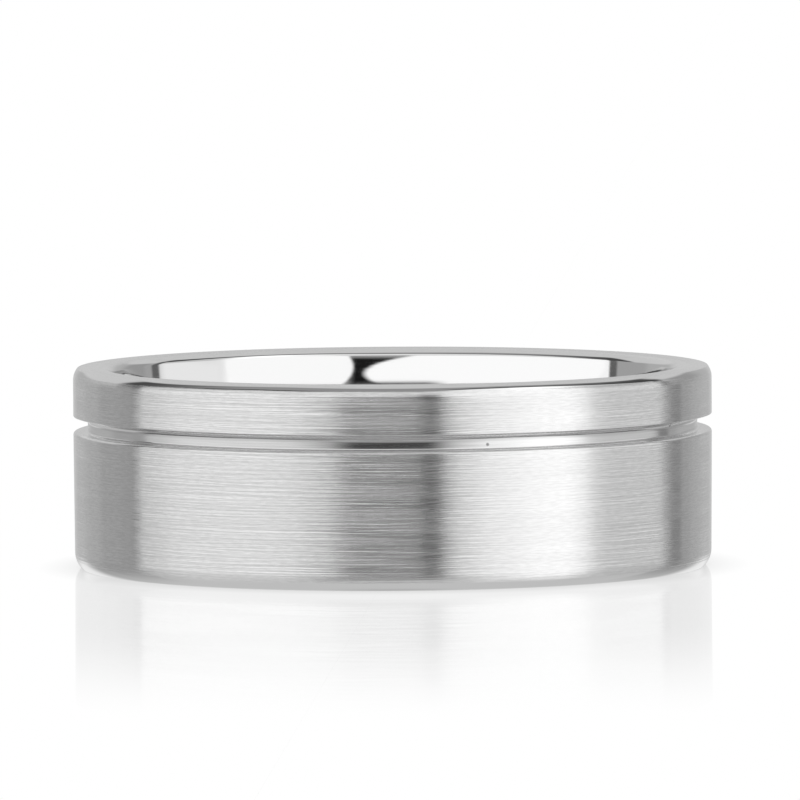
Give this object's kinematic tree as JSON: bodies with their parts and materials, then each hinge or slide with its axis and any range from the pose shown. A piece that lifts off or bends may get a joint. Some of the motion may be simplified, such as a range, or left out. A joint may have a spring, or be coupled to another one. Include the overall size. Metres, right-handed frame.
{
  "type": "wedding band",
  "caption": "Flat men's wedding band in white metal: satin outside with a polished off-centre groove, and a polished comfort-fit bore.",
  "frame": {"origin": "on the ring's axis, in the plane of the lower rim that it rests on", "axes": "+Z along the ring's axis, from the wide land's rim up to the narrow land's rim; the ring is the same at every angle about +Z, so +X and +Y are any two square directions"},
  "size_m": [0.0224, 0.0224, 0.007],
  "materials": {
    "platinum": "platinum: satin brushed round the outside lands, mirror polished in the groove and the bore"
  },
  "bodies": {
    "root": {"band": "platinum"}
  },
  "joints": []
}
